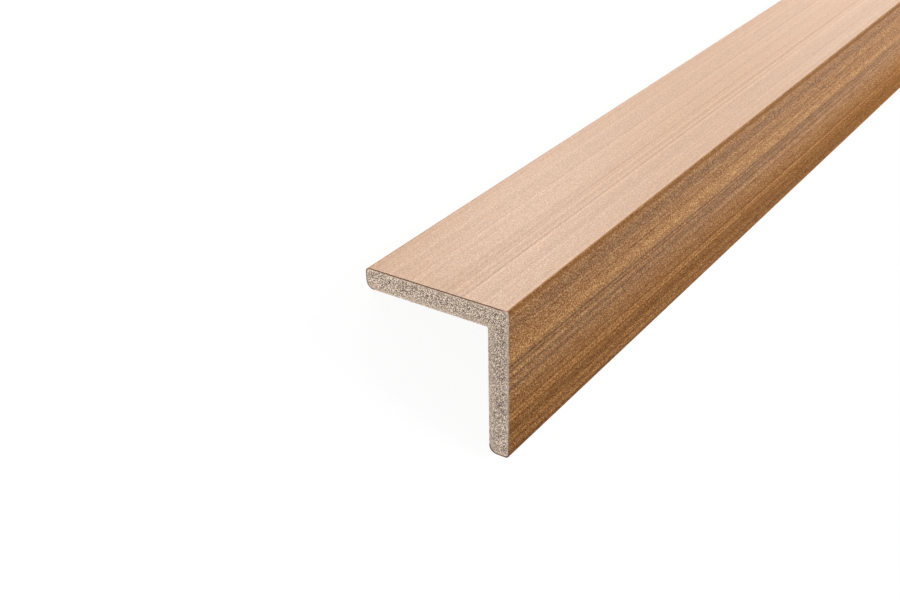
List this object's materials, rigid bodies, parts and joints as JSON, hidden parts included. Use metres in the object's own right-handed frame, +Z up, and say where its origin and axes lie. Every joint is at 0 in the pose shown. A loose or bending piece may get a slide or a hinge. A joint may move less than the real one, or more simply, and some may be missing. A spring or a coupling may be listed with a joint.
{
  "type": "composite corner trim",
  "caption": "Length of equal-leg L-section composite trim with a wood-look outer skin and rounded free edges, for covering an outside corner of cladding or decking.",
  "frame": {"origin": "on the floor, under the middle of the length and of the width", "axes": "+Y along the length, +Z up through the outer corner, X across the two free edges that the trim rests on"},
  "size_m": [0.0694, 2.2, 0.0389],
  "materials": {
    "composite": "warm brown wood-look satin skin on the outer faces, bare speckled grey-tan wood-plastic composite on the back and the sawn ends"
  },
  "bodies": {
    "root": {"corner_trim": "composite"}
  },
  "joints": []
}
